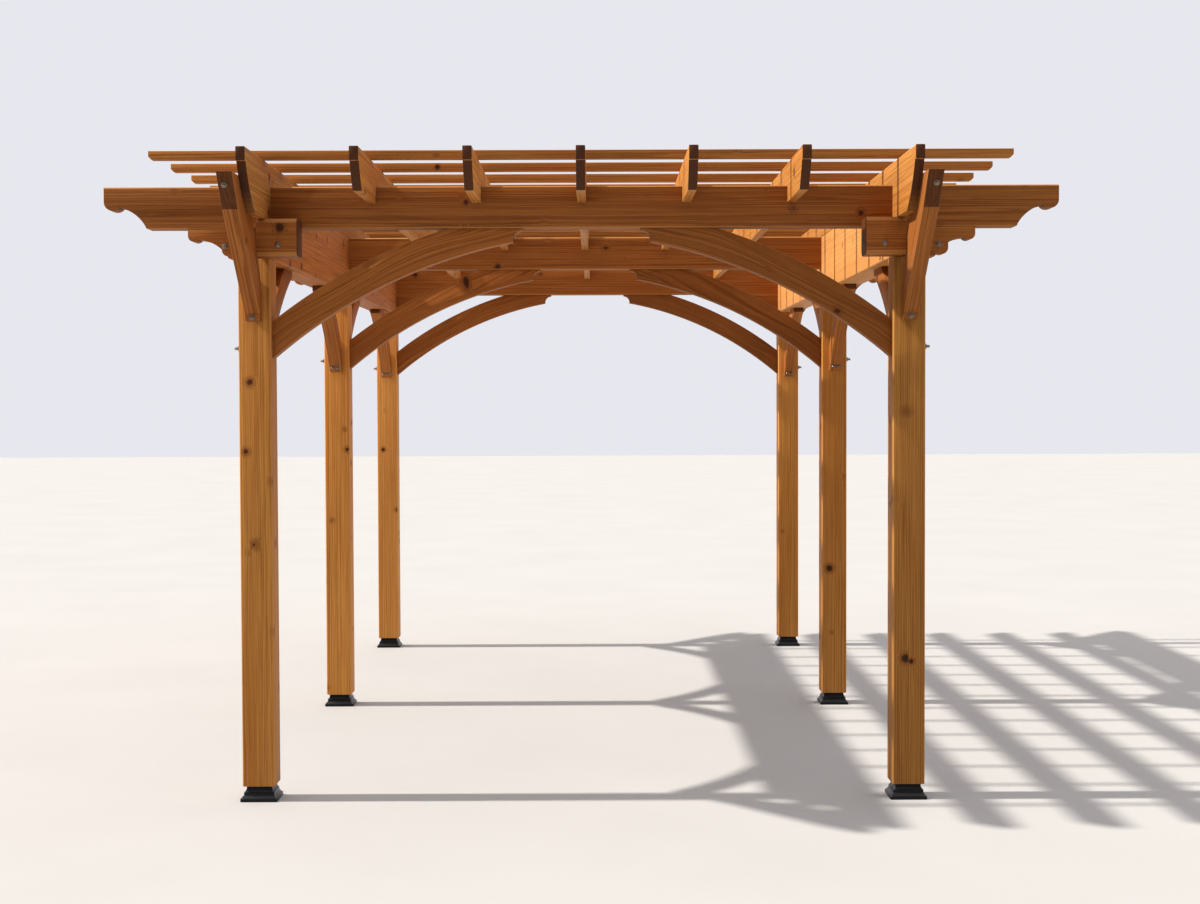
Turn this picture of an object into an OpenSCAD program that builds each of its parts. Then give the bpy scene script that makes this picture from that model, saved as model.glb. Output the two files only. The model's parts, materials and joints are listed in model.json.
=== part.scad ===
// Timber pergola: three post-and-beam frames carried on stepped metal bases,
// tied front to back by deep side beams, with rafters and slats on top.
// Millimetres. X runs left to right, Y front to back, Z up from the floor.

/* [Overall] */
// Distance between the left and right post centres
span = 2820; // [2300:10:3500]
// Distance from one frame to the next, centre to centre
bay = 2350; // [1900:10:3000]
// Height of the post tops above the floor
post_top = 2350; // [2150:1:2800]
// Width of the flat that eases every long timber edge
ease = 5; // [2:0.5:8]

/* [Posts and bases] */
// Side of the square posts
post_w = 140; // [115:1:170]
// Side of the base plate on the floor
plate_w = 160; // [150:1:200]
// Height of the plate's straight edge
plate_h = 14; // [8:1:20]
// Side of the middle tier of the base
tier_w = 132; // [124:1:140]
// Side of the neck under the post
neck_w = 112; // [90:1:115]
// Height of the whole base, up to the post's foot
base_h = 66; // [60:1:100]

/* [Cross beams] */
// Length of a cross beam, tip to tip
beam_len = 4118; // [3900:10:4800]
// Depth of a cross beam, top to bottom
beam_h = 180; // [160:1:240]
// Thickness of a cross beam, front to back
beam_t = 89; // [70:1:110]
// Plain face above the beam's scrolled nose
beam_lip = 64; // [45:1:70]
// Radius of the beam's scrolled nose
beam_nose_r = 37; // [30:1:46]
// Length of the cove under the beam's scroll
beam_cove_run = 112; // [90:1:140]
// Radius of the round at the foot of a scroll
bead_r = 12; // [6:1:16]

/* [Side beams, corbels and seat blocks] */
// Wood left in a side beam under a cross beam, which is the corbels' depth too
bearing_h = 130; // [115:1:170]
// Reach of a corbel past the face of its post
corbel_reach = 218; // [190:1:260]
// Plain face above a corbel's scrolled nose
corbel_lip = 30; // [20:1:36]
// Radius of a corbel's scrolled nose
corbel_nose_r = 25; // [20:1:30]
// Length of the cove under a corbel's scroll
corbel_cove_run = 126; // [100:1:140]
// Radius of the coves under beams and corbels
cove_r = 170; // [120:5:300]
// Width of a seat block, left to right
seat_w = 172; // [150:1:220]
// Depth of a seat block, front to back
seat_d = 140; // [110:1:180]
// Flat that eases the seat block's edges
seat_ease = 16; // [6:1:20]

/* [Braces] */
// Thickness of the arched braces, front to back
arch_t = 64; // [45:1:85]
// Depth of the arched braces, measured square to the curve
arch_depth = 125; // [95:1:150]
// Distance that an arched brace reaches in from its post
arch_run = 1085; // [900:5:1100]
// Drop of an arched brace's lower edge at the post, below the cross beam
arch_drop = 560; // [500:5:620]
// Drop of the arched brace's lower edge at its tip
arch_tip_drop = 52; // [48:1:70]
// Radius of the arched brace's lower edge
arch_r = 2230; // [1500:10:3000]
// Radius of the cove at the arched brace's tip
arch_cove_r = 42; // [20:1:44]
// Thickness of the knee braces and the overhang braces, side to side
brace_t = 64; // [45:1:70]
// Depth of a knee brace, square to the curve
knee_depth = 110; // [80:1:120]
// Distance that a knee brace reaches from its post
knee_run = 620; // [450:5:700]
// Drop of a knee brace's lower edge at the post, below the side beam
knee_drop = 490; // [400:5:560]
// Drop of a knee brace's lower edge at its tip
knee_tip_drop = 28; // [20:1:40]
// Radius of a knee brace's lower edge
knee_r = 1600; // [1200:10:2400]
// Height of the flat cut off the foot of a knee brace
foot_cut = 40; // [20:1:60]
// Height of an overhang brace's foot above the floor
overhang_foot_z = 2079; // [1900:1:2100]
// How far an overhang brace's foot stands out from the post
overhang_foot_out = 45; // [35:1:60]
// Height of the square face at the overhang brace's foot
overhang_foot_h = 31; // [25:1:50]
// Height of the sawn end at an overhang brace's tip
overhang_end_h = 138; // [100:1:160]
// Distance from the overhang brace's tip back to the foot of its sawn end
overhang_end_run = 112; // [80:1:140]
// Reach of an overhang brace's tip from the post
overhang_run = 590; // [520:1:650]
// Length of the level cut on top of an overhang brace
overhang_top_w = 200; // [160:1:240]
// Radius of an overhang brace's bowed back
overhang_back_r = 800; // [600:10:1400]
// Height at the post of the overhang brace's upper edge, above its foot
overhang_heel_h = 121; // [100:1:150]

/* [Rafters and slats] */
// Number of rafters
rafter_count = 7; // [7]
// Thickness of a rafter
rafter_t = 38; // [30:1:50]
// Depth of an inner rafter
rafter_h = 168; // [150:1:190]
// Depth of an edge rafter
edge_rafter_h = 245; // [225:1:260]
// Height of the rafters' top edge above the cross beams
rafter_rise = 95; // [80:1:110]
// Reach of the rafter tails past the outer post centres
tail_run = 590; // [520:1:640]
// Height of the plumb face at a rafter's tip
tail_face = 57; // [45:1:70]
// Step back under the plumb face
tail_step = 16; // [10:1:30]
// Distance from a rafter's tip to where the rounded cut would meet an edge rafter's underside
tail_cut = 205; // [150:1:260]
// Radius of the rounded cut under a tail
tail_r = 520; // [300:10:900]
// Number of slats
slat_count = 14; // [14]
// Side of the square slats
slat_w = 38; // [30:1:44]
// Length of the slats
slat_len = 3652; // [3000:10:3800]
// Distance of the outermost slats past the outer post centres
slat_out = 180; // [120:1:260]
// Bevel on the lower corner of each slat's ends
slat_bevel = 14; // [8:1:20]

/* [Hidden] */
$fn = 96;
eps = 1;                                     // how far a cutter runs past a face
left = -1;
right = 1;
front = -1;
middle = 0;
back = 1;
beam_z = post_top + bearing_h;               // underside of the cross beams
beam_top = beam_z + beam_h;
rafter_top = beam_top + rafter_rise;
post_x = span / 2;
inner_x = post_x - post_w / 2;               // inner faces of posts and side beams
edge_outer_x = inner_x + rafter_t;           // outer faces of the edge rafters
edge_rafter_x = inner_x + rafter_t / 2;
rafter_pitch = 2 * edge_rafter_x / (rafter_count - 1);
overhang_top_z = beam_top - 14;
seat_top = rafter_top - edge_rafter_h;
seat_front_y = bay + beam_t / 2;             // face that the seat blocks stand against
slat_pitch = 2 * (bay + slat_out) / (slat_count - 1);
slats_a_node = slat_count / 2;
cusp = 1.8;                                  // cusp of a scroll, in nose radii from the tip
timber = "#b5773c";
timber_dark = "#8f5426";
timber_light = "#c98d4c";
iron = "#1d1f22";

// ---- shared shapes ----

// Rectangle centred on the origin, with its four corners eased by a flat
module eased_rect(w, h, flat) {
    polygon([
        [-w / 2 + flat, -h / 2], [w / 2 - flat, -h / 2],
        [w / 2, -h / 2 + flat], [w / 2, h / 2 - flat],
        [w / 2 - flat, h / 2], [-w / 2 + flat, h / 2],
        [-w / 2, h / 2 - flat], [-w / 2, -h / 2 + flat]
    ]);
}

// Bar along X, centred in X and Y, with its underside at z = 0
module bar_x(length, thick, high, flat) {
    translate([-length / 2, 0, high / 2])
        rotate([90, 0, 90])
            linear_extrude(length) eased_rect(thick, high, flat);
}

// Bar along Y, centred in X and Y, with its underside at z = 0
module bar_y(length, thick, high, flat) {
    rotate([0, 0, 90]) bar_x(length, thick, high, flat);
}

// Lays a profile drawn in X and Z upright, centred in Y
module upright_x(thick) {
    rotate([90, 0, 0]) linear_extrude(thick, center = true) children();
}

// Lays a profile drawn in Y and Z upright, centred in X
module upright_y(thick) {
    rotate([90, 0, 90]) linear_extrude(thick, center = true) children();
}

// Scrolled end with its tip at x = 0 and its top at y = 0: a plain lip over
// a round nose, a cusp, a shallow cove and a small bead that meets the underside
module scroll_end(depth, lip, nose_r, cove_run, length) {
    cusp_x = cusp * nose_r;
    cusp_y = lip + nose_r * sqrt(1 - pow(cusp - 1, 2));
    cove_rise = depth - cusp_y - bead_r;
    chord = sqrt(cove_run * cove_run + cove_rise * cove_rise);
    sag = sqrt(cove_r * cove_r - chord * chord / 4);
    centre = [
        cusp_x + cove_run / 2 - sag * cove_rise / chord,
        -cusp_y - cove_rise / 2 - sag * cove_run / chord
    ];
    difference() {
        union() {
            translate([0, -lip]) square([cusp_x, lip]);
            translate([nose_r, -lip]) circle(nose_r);
            translate([cusp_x, -depth]) square([length - cusp_x, depth]);
        }
        intersection() {
            translate(centre) circle(cove_r, $fn = 240);
            translate([cusp_x - eps, bead_r - depth]) square([cove_run + eps, cove_rise]);
        }
        translate([cusp_x - eps, -depth - eps]) square([cove_run + eps, bead_r + eps]);
        translate([cusp_x + cove_run, -depth]) difference() {
            translate([-eps, -eps]) square(bead_r + eps);
            translate([bead_r, bead_r]) circle(bead_r);
        }
    }
}

// Band of a circle between a post face at x = 0 and a tip at x = run, under
// y = 0. Its lower edge runs from [0, -drop] to [run, -tip_drop].
module curved_brace(run, drop, tip_drop, depth, radius) {
    rise = drop - tip_drop;
    chord = sqrt(run * run + rise * rise);
    sag = sqrt(radius * radius - chord * chord / 4);
    centre = [run / 2 + sag * rise / chord, -(drop + tip_drop) / 2 - sag * run / chord];
    intersection() {
        translate([0, -drop]) square([run, drop]);
        difference() {
            translate(centre) circle(radius + depth, $fn = 360);
            translate(centre) circle(radius, $fn = 360);
        }
    }
}

// ---- posts and bases ----

// Square post between its base and the side beam
module post(side, frame) {
    color(timber)
        translate([side * post_x, frame * bay, base_h])
            linear_extrude(post_top - base_h) eased_rect(post_w, post_w, ease);
}

// Frustum with square ends, as two crossed prisms
module square_taper(low_w, high_w, high) {
    intersection() {
        taper_prism(low_w, high_w, high);
        rotate([0, 0, 90]) taper_prism(low_w, high_w, high);
    }
}

module taper_prism(low_w, high_w, high) {
    upright_x(low_w)
        polygon([[-low_w / 2, 0], [low_w / 2, 0], [high_w / 2, high], [-high_w / 2, high]]);
}

// Stepped base: plate with a sloped top, a middle tier and a neck
module base(side, frame) {
    slope_h = (base_h - plate_h) / 4;
    tier_z = plate_h + slope_h;
    neck_z = tier_z + slope_h;
    color(iron) translate([side * post_x, frame * bay, 0]) {
        linear_extrude(plate_h) eased_rect(plate_w, plate_w, ease);
        translate([0, 0, plate_h]) square_taper(plate_w - 2 * ease, tier_w, slope_h);
        translate([0, 0, tier_z]) linear_extrude(slope_h) eased_rect(tier_w, tier_w, ease);
        translate([0, 0, neck_z]) square_taper(tier_w - 2 * ease, neck_w, slope_h);
        translate([0, 0, neck_z + slope_h])
            linear_extrude(base_h - neck_z - slope_h) eased_rect(neck_w, neck_w, ease);
    }
}

// ---- beams ----

// Cross beam with a scroll at each end
module beam(frame) {
    color(timber) translate([0, frame * bay, 0]) intersection() {
        translate([0, 0, beam_z]) bar_x(beam_len, beam_t, beam_h, ease);
        upright_x(beam_t) for (end = [0, 1]) mirror([end, 0])
            translate([-beam_len / 2, beam_top])
                scroll_end(beam_h, beam_lip, beam_nose_r, beam_cove_run, beam_len / 2);
    }
}

// Room that the three cross beams take
module beam_room() {
    for (frame = [front, middle, back])
        translate([-beam_len / 2, frame * bay - beam_t / 2, beam_z])
            cube([beam_len, beam_t, beam_h]);
}

// Side beam along the post tops, notched over the cross beams and cut away
// beyond the outer two
module side_beam(side) {
    length = 2 * bay + beam_t;
    color(timber) difference() {
        translate([side * post_x, 0, post_top])
            bar_y(length, post_w, beam_top - post_top, ease);
        beam_room();
    }
}

// ---- corbels and seat blocks ----

// Scrolled corbel that carries on from a post face at x = 0 towards -x
module corbel() {
    translate([0, 0, post_top]) intersection() {
        translate([-corbel_reach / 2, 0, 0]) bar_x(corbel_reach, beam_t, bearing_h, ease);
        upright_x(beam_t) translate([-corbel_reach, bearing_h])
            scroll_end(bearing_h, corbel_lip, corbel_nose_r, corbel_cove_run, corbel_reach);
    }
}

// Corbels of one frame: outside both posts, and inside them where asked
module corbels(frame, inner) {
    color(timber_light) translate([0, frame * bay, 0]) for (side = [left, right]) {
        translate([side * (post_x + post_w / 2), 0, 0])
            mirror([side == right ? 1 : 0, 0, 0]) corbel();
        if (inner)
            translate([side * inner_x, 0, 0])
                mirror([side == left ? 1 : 0, 0, 0]) corbel();
    }
}

// Seat blocks that carry the tails of the edge rafters
module seat_blocks(end) {
    high = seat_top - post_top;
    color(timber_dark) for (side = [left, right])
        translate([
            side * (edge_outer_x - seat_w / 2),
            end * (seat_front_y + seat_d / 2),
            post_top
        ])
            bar_x(seat_w, seat_d, high, seat_ease);
}

// ---- braces ----

// Arched brace from a post's inner face to the underside of its cross beam
module arch(side, frame) {
    color(timber) translate([side * inner_x, frame * bay, beam_z])
        mirror([side == right ? 1 : 0, 0, 0])
            upright_x(arch_t) difference() {
                curved_brace(arch_run, arch_drop, arch_tip_drop, arch_depth, arch_r);
                translate([arch_run, -arch_tip_drop]) circle(arch_cove_r);
            }
}

// Knee brace that runs up along +Y from a post to the side beam
module knee_brace() {
    upright_y(brace_t) intersection() {
        curved_brace(knee_run, knee_drop, knee_tip_drop, knee_depth, knee_r);
        translate([0, foot_cut - knee_drop]) square([knee_run, knee_drop]);
    }
}

// The two knee braces of one bay, facing each other
module knee_braces(side, bay_end) {
    face_y = bay / 2 - post_w / 2;
    color(timber) translate([side * post_x, bay_end * bay / 2, post_top])
        for (turn = [0, 1]) mirror([0, turn, 0]) translate([0, -face_y, 0]) knee_brace();
}

// Overhang brace that leans out from a post face at y = 0 towards +y: a blunt
// foot, a straight underside, a sawn end, a level top and a bowed back
module overhang_brace() {
    top_z = overhang_top_z;
    shoulder = overhang_run - overhang_top_w;
    heel_z = overhang_foot_z + overhang_heel_h;
    // circle through the heel and the shoulder
    rise = top_z - heel_z;
    chord = sqrt(shoulder * shoulder + rise * rise);
    sag = sqrt(overhang_back_r * overhang_back_r - chord * chord / 4);
    centre = [shoulder / 2 + sag * rise / chord, (heel_z + top_z) / 2 - sag * shoulder / chord];
    upright_y(brace_t) intersection() {
        translate(centre) circle(overhang_back_r, $fn = 360);
        polygon([
            [0, overhang_foot_z],
            [overhang_foot_out, overhang_foot_z],
            [overhang_foot_out, overhang_foot_z + overhang_foot_h],
            [overhang_run - overhang_end_run, top_z - overhang_end_h],
            [overhang_run, top_z],
            [0, top_z]
        ]);
    }
}

// Overhang braces of one end, each against the outer face of an edge rafter
module overhang_braces(end) {
    color(timber) for (side = [left, right])
        translate([side * (edge_outer_x + brace_t / 2), end * (bay + post_w / 2), 0])
            mirror([0, end == front ? 1 : 0, 0]) overhang_brace();
}

// ---- rafters and slats ----

// Shape of one half of a rafter, from its tip at x = 0 with its top at y = 0:
// a plumb face, a step and a rounded cut that the underside meets
module rafter_half(depth, length) {
    run = tail_cut - tail_step;
    drop = edge_rafter_h - tail_face;
    chord = sqrt(run * run + drop * drop);
    sag = sqrt(tail_r * tail_r - chord * chord / 4);
    centre = [tail_step + run / 2 + sag * drop / chord, -tail_face - drop / 2 + sag * run / chord];
    translate([0, -tail_face]) square([length, tail_face]);
    translate([centre[0], -depth]) square([length - centre[0], depth]);
    intersection() {
        translate([tail_step, -depth]) square([centre[0] - tail_step + eps, depth]);
        translate(centre) circle(tail_r, $fn = 360);
    }
}

// Rafter with its notches for the cross beams
module rafter(number) {
    edge = number == 1 || number == rafter_count;
    depth = edge ? edge_rafter_h : rafter_h;
    length = 2 * (bay + tail_run);
    x = (number - (rafter_count + 1) / 2) * rafter_pitch;
    color(timber) difference() {
        translate([x, 0, rafter_top]) intersection() {
            translate([0, 0, -depth]) bar_y(length, rafter_t, depth, ease / 2);
            upright_y(rafter_t) for (end = [0, 1]) mirror([end, 0])
                translate([-length / 2, 0]) rafter_half(depth, length / 2);
        }
        beam_room();
        if (edge) side_beam_room();
    }
}

// Room that the side beams take under the edge rafters
module side_beam_room() {
    length = 2 * bay + beam_t;
    for (side = [left, right])
        translate([side * post_x - post_w / 2, -length / 2, post_top])
            cube([post_w, length, beam_top - post_top]);
}

function slat_y(i) = -(bay + slat_out) + i * slat_pitch;

// One slat with the lower corners of its ends bevelled
module slat() {
    intersection() {
        bar_x(slat_len, slat_w, slat_w, ease / 4);
        upright_x(slat_w) polygon([
            [-slat_len / 2, slat_w], [slat_len / 2, slat_w],
            [slat_len / 2, slat_bevel], [slat_len / 2 - slat_bevel, 0],
            [slat_bevel - slat_len / 2, 0], [-slat_len / 2, slat_bevel]
        ]);
    }
}

// Half of the slats: 0 for the front half, 1 for the back half
module slats(half) {
    color(timber_light) for (i = [0 : slats_a_node - 1])
        translate([0, slat_y(half * slats_a_node + i), rafter_top]) slat();
}

// ---- the parts ----

post(left, front);  // post_front_left
post(right, front);  // post_front_right
post(left, middle);  // post_middle_left
post(right, middle);  // post_middle_right
post(left, back);  // post_back_left
post(right, back);  // post_back_right
base(left, front);  // base_front_left
base(right, front);  // base_front_right
base(left, middle);  // base_middle_left
base(right, middle);  // base_middle_right
base(left, back);  // base_back_left
base(right, back);  // base_back_right
beam(front);  // beam_front
beam(middle);  // beam_middle
beam(back);  // beam_back
side_beam(left);  // side_beam_left
side_beam(right);  // side_beam_right
arch(left, front);  // arch_front_left
arch(right, front);  // arch_front_right
arch(left, middle);  // arch_middle_left
arch(right, middle);  // arch_middle_right
arch(left, back);  // arch_back_left
arch(right, back);  // arch_back_right
corbels(front, false);  // corbels_front
corbels(middle, false);  // corbels_middle
corbels(back, true);  // corbels_back
seat_blocks(front);  // seat_blocks_front
seat_blocks(back);  // seat_blocks_back
overhang_braces(front);  // overhang_braces_front
overhang_braces(back);  // overhang_braces_back
knee_braces(left, front);  // knee_braces_left_front
knee_braces(left, back);  // knee_braces_left_back
knee_braces(right, front);  // knee_braces_right_front
knee_braces(right, back);  // knee_braces_right_back
rafter(1);  // rafter_1
rafter(2);  // rafter_2
rafter(3);  // rafter_3
rafter(4);  // rafter_4
rafter(5);  // rafter_5
rafter(6);  // rafter_6
rafter(7);  // rafter_7
slats(0);  // slats_front
slats(1);  // slats_back
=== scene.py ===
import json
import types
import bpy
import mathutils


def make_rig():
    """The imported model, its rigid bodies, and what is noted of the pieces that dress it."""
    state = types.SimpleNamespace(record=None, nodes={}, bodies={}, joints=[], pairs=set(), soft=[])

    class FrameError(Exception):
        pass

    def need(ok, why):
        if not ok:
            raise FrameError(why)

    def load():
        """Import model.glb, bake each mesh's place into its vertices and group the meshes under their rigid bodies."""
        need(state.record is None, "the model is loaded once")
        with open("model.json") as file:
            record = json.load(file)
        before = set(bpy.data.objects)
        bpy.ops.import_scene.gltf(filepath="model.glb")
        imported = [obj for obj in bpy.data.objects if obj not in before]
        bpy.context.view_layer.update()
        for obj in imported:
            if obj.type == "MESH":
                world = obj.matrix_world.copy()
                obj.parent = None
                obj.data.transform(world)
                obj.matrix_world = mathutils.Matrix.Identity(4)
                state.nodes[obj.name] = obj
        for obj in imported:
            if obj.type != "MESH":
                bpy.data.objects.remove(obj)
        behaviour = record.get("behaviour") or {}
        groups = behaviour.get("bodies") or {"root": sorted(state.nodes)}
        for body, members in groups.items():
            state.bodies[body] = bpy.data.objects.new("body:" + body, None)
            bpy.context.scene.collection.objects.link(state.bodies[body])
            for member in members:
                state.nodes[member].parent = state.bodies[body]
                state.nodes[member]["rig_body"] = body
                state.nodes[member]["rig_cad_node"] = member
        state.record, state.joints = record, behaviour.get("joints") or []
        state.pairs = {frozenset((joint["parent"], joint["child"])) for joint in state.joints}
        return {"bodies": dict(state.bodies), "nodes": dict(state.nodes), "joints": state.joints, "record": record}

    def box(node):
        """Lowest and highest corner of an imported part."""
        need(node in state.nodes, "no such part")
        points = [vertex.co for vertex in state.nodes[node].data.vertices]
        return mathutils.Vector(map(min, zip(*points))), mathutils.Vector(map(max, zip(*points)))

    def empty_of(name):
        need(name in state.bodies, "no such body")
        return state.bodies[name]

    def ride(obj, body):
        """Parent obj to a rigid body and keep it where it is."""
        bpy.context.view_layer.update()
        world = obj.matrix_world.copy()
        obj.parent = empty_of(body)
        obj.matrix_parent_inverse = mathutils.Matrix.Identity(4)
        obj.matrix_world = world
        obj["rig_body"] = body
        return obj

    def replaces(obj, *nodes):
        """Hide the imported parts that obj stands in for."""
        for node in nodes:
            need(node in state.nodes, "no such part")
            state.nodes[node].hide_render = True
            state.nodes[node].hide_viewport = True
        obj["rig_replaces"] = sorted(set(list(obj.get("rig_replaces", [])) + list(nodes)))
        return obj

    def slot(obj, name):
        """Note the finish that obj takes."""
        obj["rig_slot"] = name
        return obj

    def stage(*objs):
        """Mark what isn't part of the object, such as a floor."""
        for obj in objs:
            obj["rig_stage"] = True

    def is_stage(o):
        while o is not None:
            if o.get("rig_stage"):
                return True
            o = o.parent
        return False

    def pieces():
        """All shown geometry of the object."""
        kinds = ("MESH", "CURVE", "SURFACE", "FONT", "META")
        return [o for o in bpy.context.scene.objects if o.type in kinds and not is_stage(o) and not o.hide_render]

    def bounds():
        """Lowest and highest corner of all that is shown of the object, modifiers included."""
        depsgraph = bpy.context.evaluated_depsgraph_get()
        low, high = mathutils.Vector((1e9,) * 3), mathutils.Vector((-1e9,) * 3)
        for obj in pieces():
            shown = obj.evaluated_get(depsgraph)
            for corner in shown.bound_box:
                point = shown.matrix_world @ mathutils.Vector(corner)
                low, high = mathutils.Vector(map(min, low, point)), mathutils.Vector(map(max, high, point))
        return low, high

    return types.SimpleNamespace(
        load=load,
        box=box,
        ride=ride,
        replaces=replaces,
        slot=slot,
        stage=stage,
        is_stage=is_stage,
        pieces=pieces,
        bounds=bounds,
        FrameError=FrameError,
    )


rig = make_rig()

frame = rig.load()
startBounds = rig.bounds()

import json
import math
import random

import bpy
import numpy as np
from mathutils import Vector

print("frame loaded")


def deselectAll():
    bpy.ops.object.select_all(action="DESELECT")


def activate(obj):
    deselectAll()
    obj.select_set(True)
    bpy.context.view_layer.objects.active = obj


def joined(objects):
    # one object out of several
    deselectAll()
    for obj in objects:
        obj.select_set(True)
    bpy.context.view_layer.objects.active = objects[0]
    bpy.ops.object.join()
    return bpy.context.object


def applyModifier(obj, kind, **values):
    activate(obj)
    bpy.ops.object.modifier_add(type=kind)
    modifier = obj.modifiers[-1]
    for key, value in values.items():
        setattr(modifier, key, value)
    bpy.ops.object.modifier_apply(modifier=modifier.name)


def bevelEdges(obj, width, segments, sharpFrom):
    # rounds the edges that turn by more than sharpFrom degrees
    applyModifier(obj, "BEVEL", width=width, segments=segments, limit_method="ANGLE",
                  angle_limit=math.radians(sharpFrom), harden_normals=False)


def applyPlace(obj):
    activate(obj)
    bpy.ops.object.transform_apply(location=True, rotation=True, scale=True)


def smoothShade(obj, sharpFrom):
    activate(obj)
    bpy.ops.object.shade_smooth_by_angle(angle=math.radians(sharpFrom))


mergeValues = {"distance": 0.00002, "flatWithin": 0.4}


def copyNode(name, pieceName):
    # a copy of the frame's mesh with its split corners merged again
    piece = frame["nodes"][name].copy()
    piece.data = frame["nodes"][name].data.copy()
    piece.name = pieceName
    piece.data.name = pieceName
    piece.parent = None
    for key in list(piece.keys()):
        del piece[key]
    piece.data.materials.clear()
    bpy.context.scene.collection.objects.link(piece)
    piece.hide_render = False
    piece.hide_viewport = False
    activate(piece)
    bpy.ops.object.mode_set(mode="EDIT")
    bpy.ops.mesh.select_all(action="SELECT")
    bpy.ops.mesh.remove_doubles(threshold=mergeValues["distance"])
    bpy.ops.mesh.dissolve_limited(angle_limit=math.radians(mergeValues["flatWithin"]))
    bpy.ops.mesh.customdata_custom_splitnormals_clear()
    bpy.ops.object.mode_set(mode="OBJECT")
    return piece


def islands(mesh):
    # number of the loose part that each vertex belongs to
    parent = list(range(len(mesh.vertices)))

    def root(i):
        while parent[i] != i:
            parent[i] = parent[parent[i]]
            i = parent[i]
        return i

    for edge in mesh.edges:
        a, b = root(edge.vertices[0]), root(edge.vertices[1])
        if a != b:
            parent[b] = a
    roots = [root(i) for i in range(len(parent))]
    order = {r: n for n, r in enumerate(dict.fromkeys(roots))}
    return np.array([order[r] for r in roots])


# helpers for shader nodes

def addNode(tree, kind, **values):
    node = tree.nodes.new(kind)
    for key, value in values.items():
        setattr(node, key, value)
    return node


def plug(tree, source, target):
    if isinstance(source, (int, float, tuple, list)):
        target.default_value = source
    else:
        tree.links.new(source, target)


def mathNode(tree, operation, a, b=0.0, clamp=False):
    node = addNode(tree, "ShaderNodeMath", operation=operation, use_clamp=clamp)
    for socket, value in zip(node.inputs, (a, b)):
        plug(tree, value, socket)
    return node.outputs[0]


def vectorNode(tree, operation, a, b=(0.0, 0.0, 0.0)):
    node = addNode(tree, "ShaderNodeVectorMath", operation=operation)
    plug(tree, a, node.inputs[0])
    plug(tree, b, node.inputs[1])
    return node.outputs["Value"] if operation == "LENGTH" else node.outputs["Vector"]


def mixColour(tree, factor, a, b, blend="MIX"):
    node = addNode(tree, "ShaderNodeMix", data_type="RGBA", blend_type=blend)
    plug(tree, factor, node.inputs[0])
    plug(tree, a, node.inputs[6])
    plug(tree, b, node.inputs[7])
    return node.outputs[2]


def mapRange(tree, value, span, newSpan=(0.0, 1.0), smooth=True):
    kind = "SMOOTHSTEP" if smooth else "LINEAR"
    node = addNode(tree, "ShaderNodeMapRange", interpolation_type=kind)
    for socket, item in zip(node.inputs, (value, *span, *newSpan)):
        plug(tree, item, socket)
    return node.outputs[0]


def noise(tree, vector, scale, detail=2.0, roughness=0.5):
    # scale is one number, or one for each direction
    if isinstance(scale, tuple):
        vector, scale = vectorNode(tree, "MULTIPLY", vector, scale), 1.0
    node = addNode(tree, "ShaderNodeTexNoise")
    plug(tree, vector, node.inputs["Vector"])
    node.inputs["Scale"].default_value = scale
    node.inputs["Detail"].default_value = detail
    node.inputs["Roughness"].default_value = roughness
    return node.outputs[0]


def bumpNode(tree, height, strength, distance):
    node = addNode(tree, "ShaderNodeBump")
    node.inputs["Strength"].default_value = strength
    node.inputs["Distance"].default_value = distance
    plug(tree, height, node.inputs["Height"])
    return node.outputs[0]


def newMaterial(name):
    material = bpy.data.materials.new(name)
    material.use_nodes = True
    return material, material.node_tree, material.node_tree.nodes["Principled BSDF"]


# knots: cells to the metre along and across the grain, radii in metres, rims in knot radii
knotValues = {
    "cell": (3.1, 11.0, 11.0), "radius": (0.010, 0.021), "wobbleScale": 60.0, "wobble": 0.008,
    "core": (1.0, 0.78), "halo": (2.2, 0.9), "heart": (0.6, 0.1),
    "haloMix": 0.6, "coreMix": 0.92, "heartMix": 0.8, "heartColour": (0.02, 0.009, 0.004, 1.0),
}
# growth rings: noise scales, and how a ring darkens over its width
ringValues = {
    "driftScale": (0.55, 7.0, 7.0), "rippleScale": (6.0, 60.0, 60.0), "ripple": 0.005,
    "bulgeAtKnot": 0.016, "widthScale": (1.0, 16.0, 16.0), "widthNoise": (0.3, 0.7),
    "width": (0.8, 1.25), "darkens": (0.15, 0.86), "ends": (1.0, 0.9),
}
# fibre streaks, pores and slow clouds
fibreValues = {
    "streakScale": (2.5, 170.0, 170.0), "streakRough": 0.62, "streaks": (0.36, 0.68),
    "poreScale": (14.0, 900.0, 900.0), "poreRough": 0.6, "poreShade": 0.16,
    "cloudScale": (0.9, 5.0, 5.0), "cloudShade": 0.55, "warmClouds": (0.45, 0.7), "warmMix": 0.35,
}
# tones set each part's brightness; above 1.2 they also mix in a pale yellow that is painted sunlight
surfaceValues = {
    "tones": (-1.0, 2.0), "brightness": (0.50, 1.52), "sunlitTones": (1.2, 2.0),
    "sunlitMix": (0.0, 0.55), "arrisMix": 0.3, "glossNoise": (0.3, 0.7), "roughness": (0.50, 0.68),
    "specular": 0.12, "streakHeight": 0.6, "ringHeight": 0.35, "knotHeight": -0.7,
    "bumpStrength": 0.35, "bumpDistance": 0.0012,
}


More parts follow.
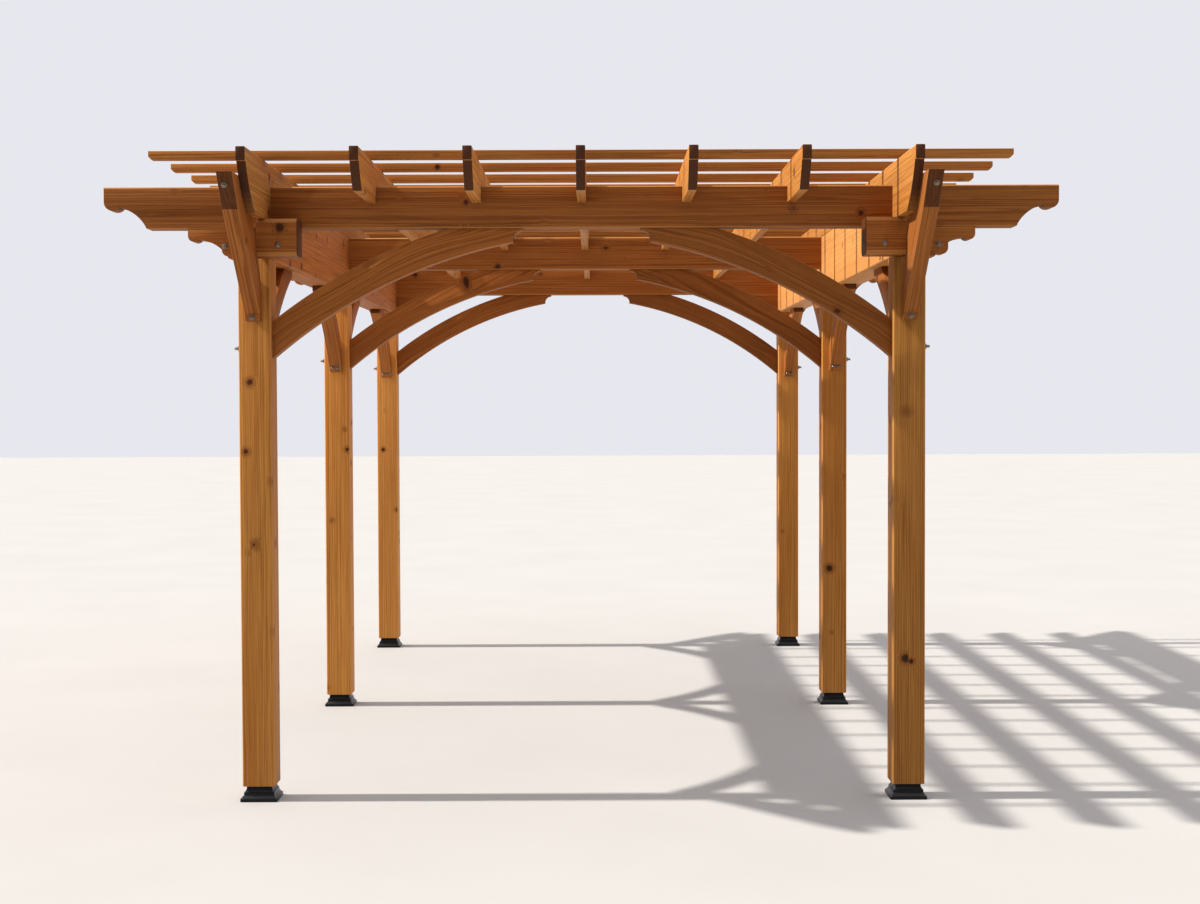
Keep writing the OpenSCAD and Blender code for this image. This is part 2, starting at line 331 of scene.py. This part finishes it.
def woodMaterial(name, values):
    # growth rings about the pith, fibre streaks, knots, darker end grain, and painted light and shade set through each
    # part's tone
    material, tree, shader = newMaterial(name)

    def meshValue(attribute, output="Fac"):
        return addNode(tree, "ShaderNodeAttribute", attribute_name=attribute).outputs[output]

    def plus(a, b, clamp=False):
        return mathNode(tree, "ADD", a, b, clamp=clamp)

    def times(a, b):
        return mathNode(tree, "MULTIPLY", a, b)

    def swing(source, size):
        # noise turned into a move either way
        return times(mathNode(tree, "SUBTRACT", source, 0.5), size)

    grain = meshValue("grain", "Vector")
    tone = meshValue("tone")
    across = vectorNode(tree, "MULTIPLY", grain, (0.0, 1.0, 1.0))

    # knots: round spots scattered through the volume
    cell = knotValues["cell"]
    cellVector = vectorNode(tree, "MULTIPLY", grain, cell)
    voronoi = addNode(tree, "ShaderNodeTexVoronoi")
    voronoi.inputs["Scale"].default_value = 1.0
    plug(tree, cellVector, voronoi.inputs["Vector"])
    offset = vectorNode(tree, "SUBTRACT", cellVector, voronoi.outputs["Position"])
    offset = vectorNode(tree, "MULTIPLY", offset, tuple(1.0 / c for c in cell))
    wobble = noise(tree, grain, knotValues["wobbleScale"])
    knotDistance = plus(vectorNode(tree, "LENGTH", offset), swing(wobble, knotValues["wobble"]))
    split = addNode(tree, "ShaderNodeSeparateColor")
    plug(tree, voronoi.outputs["Color"], split.inputs[0])
    chosen = mathNode(tree, "GREATER_THAN", split.outputs[0], 1.0 - values["knotShare"])
    knotRadius = mapRange(tree, split.outputs[1], (0.0, 1.0), knotValues["radius"], smooth=False)
    inRadii = mathNode(tree, "DIVIDE", knotDistance, knotRadius)
    core, halo, heart = [times(chosen, mapRange(tree, inRadii, knotValues[zone]))
                         for zone in ("core", "halo", "heart")]

    # growth rings, drifting along the timber and swelling round a knot
    drift = swing(noise(tree, grain, ringValues["driftScale"]), values["waver"])
    ripple = swing(noise(tree, grain, ringValues["rippleScale"]), ringValues["ripple"])
    bulge = times(halo, ringValues["bulgeAtKnot"])
    ringRadius = plus(plus(vectorNode(tree, "LENGTH", across), drift), plus(ripple, bulge))
    pitches = tuple(values["ringPitch"] * share for share in ringValues["width"])
    pitch = mapRange(tree, noise(tree, across, ringValues["widthScale"], 1.0),
                     ringValues["widthNoise"], pitches, smooth=False)
    phase = mathNode(tree, "FRACT", mathNode(tree, "DIVIDE", ringRadius, pitch))
    ring = times(mapRange(tree, phase, ringValues["darkens"]),
                 mapRange(tree, phase, ringValues["ends"]))

    streak = noise(tree, grain, fibreValues["streakScale"], 4.0, fibreValues["streakRough"])
    pores = noise(tree, grain, fibreValues["poreScale"], 2.0, fibreValues["poreRough"])
    cloud = noise(tree, grain, fibreValues["cloudScale"], 3.0)

    # colour, from bare wood to knots, lighter narrow edges and sawn ends
    amount = plus(times(ring, values["ringContrast"]),
                  times(mapRange(tree, streak, fibreValues["streaks"]), values["streakContrast"]))
    amount = plus(amount, swing(cloud, fibreValues["cloudShade"]), clamp=True)
    colour = mixColour(tree, amount, values["light"], values["dark"])
    warmth = mapRange(tree, cloud, fibreValues["warmClouds"])
    colour = mixColour(tree, times(warmth, fibreValues["warmMix"]), colour, values["warm"])
    # the tone lightens or darkens a part: random on some parts, painted light and shade on others
    brightness = plus(mapRange(tree, tone, surfaceValues["tones"], surfaceValues["brightness"],
                               smooth=False), swing(pores, fibreValues["poreShade"]))
    shade = addNode(tree, "ShaderNodeCombineColor")
    for socket in shade.inputs[:3]:
        plug(tree, brightness, socket)
    colour = mixColour(tree, 1.0, colour, shade.outputs[0], "MULTIPLY")
    # painted sunlight: parts with the highest tones are mixed towards a pale sun-yellow
    paintedSunlightMix = mapRange(tree, tone, surfaceValues["sunlitTones"], surfaceValues["sunlitMix"],
                        smooth=False)
    colour = mixColour(tree, paintedSunlightMix, colour, values["paintedSunlight"])
    for mask, share, target in (
            (halo, knotValues["haloMix"], values["knotRing"]),
            (core, knotValues["coreMix"], values["knot"]),
            (heart, knotValues["heartMix"], knotValues["heartColour"]),
            (meshValue("arris"), surfaceValues["arrisMix"], values["arris"]),
            # the end-grain colour is also painted shade on the overhang braces' top front face
            (meshValue("endFace"), values["endShade"], values["end"])):
        colour = mixColour(tree, times(mask, share), colour, target)
    plug(tree, colour, shader.inputs["Base Color"])

    roughness = mapRange(tree, streak, surfaceValues["glossNoise"], surfaceValues["roughness"],
                         smooth=False)
    plug(tree, roughness, shader.inputs["Roughness"])
    shader.inputs["Specular IOR Level"].default_value = surfaceValues["specular"]
    height = plus(times(streak, surfaceValues["streakHeight"]),
                  plus(times(ring, surfaceValues["ringHeight"]),
                       times(core, surfaceValues["knotHeight"])))
    bump = bumpNode(tree, height, surfaceValues["bumpStrength"], surfaceValues["bumpDistance"])
    plug(tree, bump, shader.inputs["Normal"])
    return material


coatingValues = {
    "castScale": 260.0, "dustScale": 14.0, "detail": 3.0, "dust": (0.5, 0.8),
    "dustMix": (0.0, 0.35), "dustLift": (2.6, 2.5, 2.3), "glossNoise": (0.3, 0.7),
    "roughnessShares": (0.8, 1.25), "specular": 0.2, "bumpStrength": 0.25,
    "bumpDistance": 0.0006,
}


def coatedMaterial(name, values):
    # cast metal with a thin coat and a little dust
    material, tree, shader = newMaterial(name)
    place = addNode(tree, "ShaderNodeTexCoord").outputs["Object"]
    cast = noise(tree, place, coatingValues["castScale"], coatingValues["detail"])
    dust = noise(tree, place, coatingValues["dustScale"], coatingValues["detail"])
    clean = values["colour"]
    dusty = (*(c * lift for c, lift in zip(clean, coatingValues["dustLift"])), 1.0)
    dustMask = mapRange(tree, dust, coatingValues["dust"], coatingValues["dustMix"])
    plug(tree, mixColour(tree, dustMask, clean, dusty), shader.inputs["Base Color"])
    roughnesses = tuple(values["roughness"] * share for share in coatingValues["roughnessShares"])
    plug(tree, mapRange(tree, dust, coatingValues["glossNoise"], roughnesses, smooth=False),
         shader.inputs["Roughness"])
    shader.inputs["Specular IOR Level"].default_value = coatingValues["specular"]
    shader.inputs["Metallic"].default_value = values["metallic"]
    bump = bumpNode(tree, cast, coatingValues["bumpStrength"], coatingValues["bumpDistance"])
    plug(tree, bump, shader.inputs["Normal"])
    return material


woodBase = {
    "light": (0.52, 0.225, 0.048, 1.0), "dark": (0.225, 0.070, 0.010, 1.0),
    # the pale yellow beside warm is painted sunlight, used on the most brightly lit parts
    "warm": (0.41, 0.135, 0.020, 1.0), "paintedSunlight": (0.72, 0.40, 0.135, 1.0),
    "knot": (0.045, 0.013, 0.004, 1.0), "knotRing": (0.15, 0.044, 0.008, 1.0),
    "arris": (0.62, 0.31, 0.09, 1.0), "end": (0.038, 0.010, 0.003, 1.0),
    "ringPitch": 0.011, "ringContrast": 0.50, "streakContrast": 0.46,
    "waver": 0.022, "knotShare": 0.62, "endShade": 0.78,
}
woodTints = {
    "post_wood": {"ringPitch": 0.0095, "ringContrast": 0.36, "knotShare": 0.8},
    "beam_wood": {"light": (0.38, 0.132, 0.027, 1.0), "dark": (0.175, 0.047, 0.007, 1.0),
                  "warm": (0.31, 0.092, 0.013, 1.0)},
    "brace_wood": {"light": (0.375, 0.130, 0.027, 1.0), "dark": (0.165, 0.044, 0.0065, 1.0),
                   "warm": (0.30, 0.090, 0.013, 1.0), "knotShare": 0.25},
    "rafter_wood": {"light": (0.52, 0.228, 0.055, 1.0), "ringPitch": 0.009, "knotShare": 0.35,
                    "endShade": 0.93, "end": (0.040, 0.012, 0.006, 1.0)},
    "slat_wood": {"light": (0.48, 0.19, 0.042, 1.0), "ringPitch": 0.008, "knotShare": 0.2},
}
metalTints = {
    "base_metal": {"colour": (0.005, 0.0055, 0.0065, 1.0), "roughness": 0.34, "metallic": 0.0},
    "bolt_metal": {"colour": (0.20, 0.16, 0.13, 1.0), "roughness": 0.35, "metallic": 0.85},
}
woods = {slot: woodMaterial(slot, {**woodBase, **tint}) for slot, tint in woodTints.items()}
metals = {name: coatedMaterial(name, tint) for name, tint in metalTints.items()}
print("materials built")

# sizes shared by several pieces, read from the frame
postLow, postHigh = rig.box("post_front_right")
beamLow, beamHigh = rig.box("beam_front")
layout = {
    "postX": (postLow.x + postHigh.x) / 2, "postHalf": (postHigh.x - postLow.x) / 2,
    "innerX": postLow.x, "outerX": postHigh.x, "postTop": postHigh.z,
    "frontY": (postLow.y + postHigh.y) / 2, "beamLow": beamLow.z,
    "beamHalf": (beamHigh.y - beamLow.y) / 2,
}
frameY = {"front": layout["frontY"], "middle": 0.0, "back": -layout["frontY"]}
ends = (("front", -1), ("back", 1))
sides = (("left", -1), ("right", 1))


def arcCentre(values):
    # centre of a curved brace's lower edge, from the foot of its post face
    run, drop, radius = values["run"], values["drop"], values["radius"]
    rise = drop - values["tipDrop"]
    chord = math.hypot(run, rise)
    sag = math.sqrt(radius * radius - chord * chord / 4)
    return run / 2 + sag * rise / chord, -(drop + values["tipDrop"]) / 2 - sag * run / chord


def grainStraight(co, axis):
    others = [i for i in range(3) if i != axis]
    return np.stack([co[:, axis], co[:, others[0]], co[:, others[1]]], 1)


def grainSloped(co, direction):
    side = 1.0 if co[:, 1].mean() > 0 else -1.0
    y, z = co[:, 1] * side, co[:, 2]
    c, s = math.cos(direction), math.sin(direction)
    return np.stack([y * c + z * s, -y * s + z * c, co[:, 0]], 1)


# about half the depth of a curved brace, where lengths along the curve are measured
curveMiddle = 0.06


def grainCurved(co, flat, thick, centre, radius):
    u, v = co[:, flat] - centre[0], co[:, 2] - centre[1]
    r = np.hypot(u, v)
    return np.stack([np.arctan2(v, u) * (radius + curveMiddle), r - radius, co[:, thick]], 1)


def storeValues(mesh, name, kind, domain, values):
    attribute = mesh.attributes.new(name, kind, domain)
    field = "vector" if kind == "FLOAT_VECTOR" else "value"
    attribute.data.foreach_set(field, np.asarray(values, np.float32).ravel())


timberValues = {
    "bevel": 0.0016, "segments": 2, "bevelFrom": 32, "smoothFrom": 24,
    "tones": (0.0, 1.0), "endCos": 0.75, "endBlend": 0.2, "shift": 90, "runOut": 0.003,
    "step": 0.002, "shadedTipTilt": 0.3, "arrisAlong": 0.3, "arrisAcross": 0.2, "arrisArea": 0.04,
    "grainSeed": "1",
}


def storeGrain(piece, node, grainOf, values):
    # grain coordinates and a tone for each loose part, drawn within the range given; some pieces get ranges that paint
    # light and shade on them
    mesh = piece.data
    co = np.zeros(len(mesh.vertices) * 3)
    mesh.vertices.foreach_get("co", co)
    co = co.reshape(-1, 3)
    part = islands(mesh)
    grain = np.zeros_like(co)
    tone = np.zeros(len(co))
    rng = random.Random(node + values["grainSeed"])
    for number in range(part.max() + 1):
        mask = part == number
        local = grainOf(co[mask])
        local = local - (local.max(0) + local.min(0)) / 2
        angle = rng.uniform(0, math.tau)
        reach = rng.uniform(*values["pith"])
        local[:, 1] += math.cos(angle) * reach
        local[:, 2] += math.sin(angle) * reach
        local[:, 0] += rng.uniform(0, values["shift"])
        # a slight run-out, so that rings cross the faces slowly
        runOut = rng.uniform(-values["runOut"], values["runOut"])
        local[:, 1] += (local[:, 0] - local[:, 0].mean()) * runOut
        grain[mask] = local
        tone[mask] = rng.uniform(*values["tones"])
    storeValues(mesh, "grain", "FLOAT_VECTOR", "POINT", grain)
    storeValues(mesh, "tone", "FLOAT", "POINT", tone)
    return co


def storeFaces(piece, co, grainOf, values, shadedTipAbove):
    # which faces are end grain, and which are narrow rounded edges; above a given height, a face that looks out and
    # down is also given the end-grain colour, as painted shade
    endFace, arris = [], []
    for polygon in piece.data.polygons:
        base = co[list(polygon.vertices)].mean(0)
        step = np.array(list(polygon.normal)) * values["step"]
        pair = grainOf(np.array([base, base + step]))
        along, *across = np.abs((pair[1] - pair[0]) / values["step"])
        blend = (along - values["endCos"] + values["endBlend"]) / (2 * values["endBlend"])
        facing = polygon.normal
        looksOutAndDown = facing.z < -values["shadedTipTilt"] and abs(facing.y) > values["shadedTipTilt"]
        # painted shade: this face runs nearly along the grain but is painted with the dark end-grain colour
        if shadedTipAbove and base[2] > shadedTipAbove and looksOutAndDown:
            blend = 1.0
        endFace.append(min(1.0, max(0.0, blend)))
        isArris = (along < values["arrisAlong"] and min(across) > values["arrisAcross"]
                   and polygon.area < values["arrisArea"])
        arris.append(1.0 if isArris else 0.0)
    storeValues(piece.data, "endFace", "FLOAT", "FACE", endFace)
    storeValues(piece.data, "arris", "FLOAT", "FACE", arris)


def makeTimber(node, slot, grainOf, shadedTipAbove=None, **changes):
    # a finished timber with its grain stored on the mesh
    values = {**timberValues, **changes}
    piece = copyNode(node, "timber_" + node)
    bevelEdges(piece, values["bevel"], values["segments"], values["bevelFrom"])
    co = storeGrain(piece, node, grainOf, values)
    storeFaces(piece, co, grainOf, values, shadedTipAbove)
    piece.data.materials.append(woods[slot])
    smoothShade(piece, values["smoothFrom"])
    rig.ride(piece, "root")
    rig.slot(piece, slot)
    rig.replaces(piece, node)


def nodesNamed(*starts):
    return [name for name in frame["nodes"] if name.startswith(starts)]


def alongX(co):
    return grainStraight(co, 0)


def alongY(co):
    return grainStraight(co, 1)


def alongZ(co):
    return grainStraight(co, 2)


postValues = {"slot": "post_wood", "bevel": 0.0018, "pith": (0.03, 0.12)}
# each post's tone is set to the light that falls on it: painted shade darkens the front right post, and painted light
# brightens the posts further back, most on the left
postLightTones = {
    "post_front_left": (0.4, 0.5), "post_middle_left": (1.15, 1.25),
    "post_back_left": (1.35, 1.45), "post_front_right": (-0.4, -0.3),
    "post_middle_right": (0.3, 0.4), "post_back_right": (0.8, 0.9),
}
for name in nodesNamed("post_"):
    makeTimber(name, grainOf=alongZ, tones=postLightTones[name], **postValues)
print("posts done")

beamValues = {"slot": "beam_wood", "bevel": 0.0018, "pith": (0.05, 0.13)}
# cross timbers take a random tone; the side beams' tones are painted light: the right one, whose inner face the sun
# lights, is painted lighter and paler than the left one in shade
beamTonesAndLight = {
    "cross": (-0.3, 0.5), "side_beam_left": (0.8, 0.9), "side_beam_right": (1.65, 1.75),
}
for name in nodesNamed("beam_", "corbels_", "seat_blocks_"):
    makeTimber(name, grainOf=alongX, tones=beamTonesAndLight["cross"], **beamValues)
for name in nodesNamed("side_beam_"):
    makeTimber(name, grainOf=alongY, tones=beamTonesAndLight[name], **beamValues)
print("beams done")

archValues = {
    "run": 1.085, "drop": 0.56, "tipDrop": 0.052, "radius": 2.23, "pith": (0.06, 0.12),
    # painted shade: the right arches are given darker tones than the left
    "tones": {"left": (0.2, 0.6), "right": (-0.5, -0.2)},
}
archU, archV = arcCentre(archValues)
for side, sign in sides:
    centre = (sign * (layout["innerX"] - archU), layout["beamLow"] + archV)
    for place in frameY:
        makeTimber(f"arch_{place}_{side}", "brace_wood", pith=archValues["pith"],
                   tones=archValues["tones"][side],
                   grainOf=lambda co, c=centre: grainCurved(co, 0, 1, c, archValues["radius"]))

kneeValues = {"run": 0.62, "drop": 0.49, "tipDrop": 0.028, "radius": 1.6, "pith": (0.05, 0.1)}
kneeU, kneeV = arcCentre(kneeValues)
bay = frameY["back"]
kneeCentre = (layout["postHalf"] - bay / 2 + kneeU, layout["postTop"] + kneeV)
for side, _ in sides:
    for end, sign in ends:
        def kneeGrain(co, middleY=sign * bay / 2):
            # the brace at the far post is turned round to match the near one
            turn = 1.0 if co[0, 1] < middleY else -1.0
            flipped = co.copy()
            flipped[:, 1] = (co[:, 1] - middleY) * turn
            return grainCurved(flipped, 1, 0, kneeCentre, kneeValues["radius"])

        makeTimber(f"knee_braces_{side}_{end}", "brace_wood", grainOf=kneeGrain,
                   pith=kneeValues["pith"])

# the dark colour on the top front face of these braces is painted shade
overhangValues = {
    "slope": math.radians(43), "pith": (0.05, 0.1), "shadedTipAbove": 2.53, "endCos": 0.95,
}
for end, _ in ends:
    makeTimber("overhang_braces_" + end, "brace_wood", pith=overhangValues["pith"],
               shadedTipAbove=overhangValues["shadedTipAbove"], endCos=overhangValues["endCos"],
               grainOf=lambda co: grainSloped(co, overhangValues["slope"]))
print("braces done")

rafterValues = {"slot": "rafter_wood", "bevel": 0.0014, "pith": (0.05, 0.12), "endCos": 0.5}
for name in nodesNamed("rafter_"):
    makeTimber(name, grainOf=alongY, **rafterValues)

slatValues = {"slot": "slat_wood", "bevel": 0.0012, "pith": (0.03, 0.08)}
for name in nodesNamed("slats_"):
    makeTimber(name, grainOf=alongX, **slatValues)
print("rafters and slats done")

baseValues = {"bevel": 0.0022, "segments": 3, "bevelFrom": 25, "smoothFrom": 35}
for name in nodesNamed("base_"):
    piece = copyNode(name, "metal_" + name)
    bevelEdges(piece, baseValues["bevel"], baseValues["segments"], baseValues["bevelFrom"])
    piece.data.materials.append(metals["base_metal"])
    smoothShade(piece, baseValues["smoothFrom"])
    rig.ride(piece, "root")
    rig.slot(piece, "base_metal")
    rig.replaces(piece, name)
print("bases done")

# each disc is its radius, height and number of sides
boltValues = {
    "washer": (0.0125, 0.0025, 28), "head": (0.009, 0.008, 6),
    "nut": (0.0125, 0.013, 6), "thread": (0.0062, 0.030, 20),
    "bevel": 0.0008, "segments": 2, "bevelFrom": 40, "smoothFrom": 35,
}
boltPlaces = {
    "seatX": 1.285, "seatRise": 0.048, "corbelOut": 0.06, "corbelRise": 0.055,
    "footOut": 0.045, "footZ": 2.0945, "tipAside": 0.008, "tipZ": 2.597, "throughZ": 1.966,
    "kneeRise": 0.026, "kneeApart": 0.015, "lookFrom": 1.5, "kneeLookFrom": 0.7,
}


def makeBolt(place, axis, through=False):
    # a washer with a six-sided head, or with the nut and thread of a through bolt
    turn = Vector(axis).to_track_quat("Z", "Y").to_euler()
    lift = boltValues["washer"][1]
    discs = [("washer", 0.0), ("nut" if through else "head", lift)]
    if through:
        discs.append(("thread", 0.0))
    pieces = []
    for disc, start in discs:
        radius, height, corners = boltValues[disc]
        middle = Vector(place) + Vector(axis) * (start + height / 2)
        bpy.ops.mesh.primitive_cylinder_add(vertices=corners, radius=radius, depth=height,
                                            location=middle, rotation=turn)
        pieces.append(bpy.context.object)
    for piece in pieces:
        bevelEdges(piece, boltValues["bevel"], boltValues["segments"], boltValues["bevelFrom"])
    return joined(pieces)


def onTimber(node, place, direction):
    # the first point of a timber met from place, with the way its face looks
    timber = bpy.data.objects["timber_" + node]
    location, normal = timber.ray_cast(Vector(place), Vector(direction))[1:3]
    return tuple(location), tuple(normal)


def boltsAtEnd(sign, end, out):
    # seat block, corbel, foot and tip of the overhang brace
    endY = frameY[end]
    postX, postTop = layout["postX"], layout["postTop"]
    blockLow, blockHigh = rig.box("seat_blocks_" + end)
    blockY = blockLow.y if out < 0 else blockHigh.y
    corbelX = layout["outerX"] + boltPlaces["corbelOut"]
    footY = endY + out * (layout["postHalf"] + boltPlaces["footOut"])
    tipX = postX + boltPlaces["tipAside"]
    tipFrom = (sign * tipX, endY + out * boltPlaces["lookFrom"], boltPlaces["tipZ"])
    return [
        ((sign * boltPlaces["seatX"], blockY, postTop + boltPlaces["seatRise"]), (0, out, 0)),
        ((sign * corbelX, endY + out * layout["beamHalf"], postTop + boltPlaces["corbelRise"]),
         (0, out, 0)),
        ((sign * postX, footY, boltPlaces["footZ"]), (0, out, 0)),
        onTimber("overhang_braces_" + end, tipFrom, (0, -out, 0)),
    ]


def boltsAtKnee(side, sign, y, bayName, out):
    # a pair at the foot of a knee brace
    node = f"knee_braces_{side}_{bayName}"
    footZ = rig.box(node)[0].z + boltPlaces["kneeRise"]
    fromY = y + out * boltPlaces["kneeLookFrom"]
    return [onTimber(node, (sign * layout["postX"] + aside, fromY, footZ), (0, -out, 0))
            for aside in (-boltPlaces["kneeApart"], boltPlaces["kneeApart"])]


bolts = []
for side, sign in sides:
    for end, out in ends:
        bolts += boltsAtEnd(sign, end, out)
    for place, y in frameY.items():
        bolts.append(((sign * layout["outerX"], y, boltPlaces["throughZ"]), (sign, 0, 0), True))
        for bayName, out in ends:
            # front and back posts carry a knee brace on their inner side only
            if place != bayName:
                kneeBay = bayName if place == "middle" else place
                bolts += boltsAtKnee(side, sign, y, kneeBay, out)
boltSet = joined([makeBolt(*values) for values in bolts])
boltSet.name = "bolts"
applyPlace(boltSet)
boltSet.data.materials.append(metals["bolt_metal"])
smoothShade(boltSet, boltValues["smoothFrom"])
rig.ride(boltSet, "root")
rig.slot(boltSet, "base_metal")
print("bolts done")

floorValues = {
    "size": 90, "cloudScale": 0.9, "detail": 5.0, "roughness": 0.75, "specular": 0.1,
    "dark": (0.345, 0.335, 0.330, 1.0), "light": (0.385, 0.375, 0.37, 1.0),
}
bpy.ops.mesh.primitive_plane_add(size=floorValues["size"], location=(0, 0, 0))
floor = bpy.context.object
floor.name = "floor"
floorMaterial, floorTree, floorShader = newMaterial("floor")
floorPlace = addNode(floorTree, "ShaderNodeTexCoord").outputs["Object"]
floorCloud = noise(floorTree, floorPlace, floorValues["cloudScale"], floorValues["detail"])
plug(floorTree, mixColour(floorTree, floorCloud, floorValues["dark"], floorValues["light"]),
     floorShader.inputs["Base Color"])
floorShader.inputs["Roughness"].default_value = floorValues["roughness"]
floorShader.inputs["Specular IOR Level"].default_value = floorValues["specular"]
floor.data.materials.append(floorMaterial)
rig.stage(floor)

# soft light from ahead and above, dimmer from behind the camera
worldValues = {
    "behind": (0.22, 0.22, 0.235, 1.0), "ahead": (0.80, 0.805, 0.86, 1.0),
    "above": (1.5, 1.48, 1.46, 1.0), "aheadSpan": (-0.9, 0.7), "aboveSpan": (0.5, 0.9),
    "strength": 1.0,
}
world = bpy.data.worlds.new("studio")
bpy.context.scene.world = world
world.use_nodes = True
worldTree = world.node_tree
background = worldTree.nodes["Background"]
parts = addNode(worldTree, "ShaderNodeSeparateXYZ")
plug(worldTree, addNode(worldTree, "ShaderNodeTexCoord").outputs["Generated"], parts.inputs[0])
forwardAndUp = mathNode(worldTree, "ADD", parts.outputs[1], parts.outputs[2])
ahead = mapRange(worldTree, forwardAndUp, worldValues["aheadSpan"])
above = mapRange(worldTree, parts.outputs[2], worldValues["aboveSpan"])
skyColour = mixColour(worldTree, ahead, worldValues["behind"], worldValues["ahead"])
plug(worldTree, mixColour(worldTree, above, skyColour, worldValues["above"]), background.inputs[0])
background.inputs[1].default_value = worldValues["strength"]
bpy.context.scene.view_settings.view_transform = "Standard"

sunValues = {
    "place": (-6, 0, 7), "elevation": 46.0, "strength": 6.6, "angle": 1.4,
    "colour": (1.0, 0.95, 0.87),
}
bpy.ops.object.light_add(type="SUN", location=sunValues["place"])
sun = bpy.context.object
sun.name = "key"
sun.rotation_euler = (0.0, -math.radians(90 - sunValues["elevation"]), 0.0)
sun.data.energy = sunValues["strength"]
sun.data.angle = math.radians(sunValues["angle"])
sun.data.color = sunValues["colour"]

cameraValues = {
    "place": (0.059, -9.88, 1.733), "pitch": 1.69, "yaw": 0.13, "roll": 0.2,
    "lens": 51.9, "sensor": 36.0,
}
bpy.ops.object.camera_add(location=cameraValues["place"])
camera = bpy.context.object
camera.rotation_euler = (math.radians(90 - cameraValues["pitch"]),
                         math.radians(cameraValues["roll"]), -math.radians(cameraValues["yaw"]))
camera.data.lens = cameraValues["lens"]
camera.data.sensor_width = cameraValues["sensor"]
camera.data.dof.use_dof = False
bpy.context.scene.camera = camera
print("stage set")

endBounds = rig.bounds()


def plain(value):
    if isinstance(value, dict):
        return {key: plain(item) for key, item in value.items()}
    if isinstance(value, (int, float, str, bool)) or value is None:
        return value
    return [plain(item) for item in value]


with open("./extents.json", "w") as sizeFile:
    json.dump([plain(startBounds), plain(endBounds)], sizeFile)
